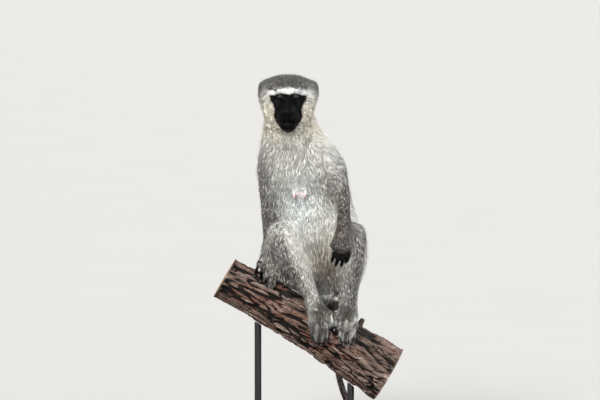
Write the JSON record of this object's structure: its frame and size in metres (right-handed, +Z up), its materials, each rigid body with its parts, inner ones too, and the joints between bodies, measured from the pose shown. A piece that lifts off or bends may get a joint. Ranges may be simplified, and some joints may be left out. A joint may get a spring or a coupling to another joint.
{
  "type": "vervet monkey",
  "caption": "Life-size adult female vervet monkey sitting on a cut length of sloping branch, on a plain display stand.",
  "frame": {"origin": "middle of the underside of the stand's board, on the floor", "axes": "+Z up, the animal faces -Y, its right side is at -X"},
  "size_m": [0.36, 0.3081, 0.6294],
  "materials": {
    "coat_grey": "grizzled fur",
    "coat_pale": "soft pale fur",
    "skin_dark": "bare matte skin",
    "skin_pink": "bare satin skin",
    "claw": "horn",
    "eye": "wet gloss",
    "bark": "fissured bark",
    "board": "dark satin",
    "steel": "satin black"
  },
  "bodies": {
    "root": {"head": "coat_grey", "neck": "coat_pale", "trunk": "coat_pale", "ear_right": "skin_dark", "ear_left": "skin_dark", "eye_right": "eye", "eye_left": "eye", "teat_right": "skin_pink", "teat_left": "skin_pink", "upper_arm_right": "coat_grey", "forearm_right": "coat_grey", "hand_right": "skin_dark", "upper_arm_left": "coat_grey", "forearm_left": "coat_grey", "hand_left": "skin_dark", "thigh_right": "coat_grey", "shin_right": "coat_grey", "foot_right": "coat_pale", "thigh_left": "coat_grey", "shin_left": "coat_grey", "foot_left": "coat_pale", "tail_root": "coat_grey", "tail_hanging": "coat_grey", "tail_lying": "coat_grey", "tail_tip": "coat_grey", "perch": "bark", "stand_base": "board", "stand_rod_right": "steel", "stand_rod_left": "steel"}
  },
  "joints": []
}
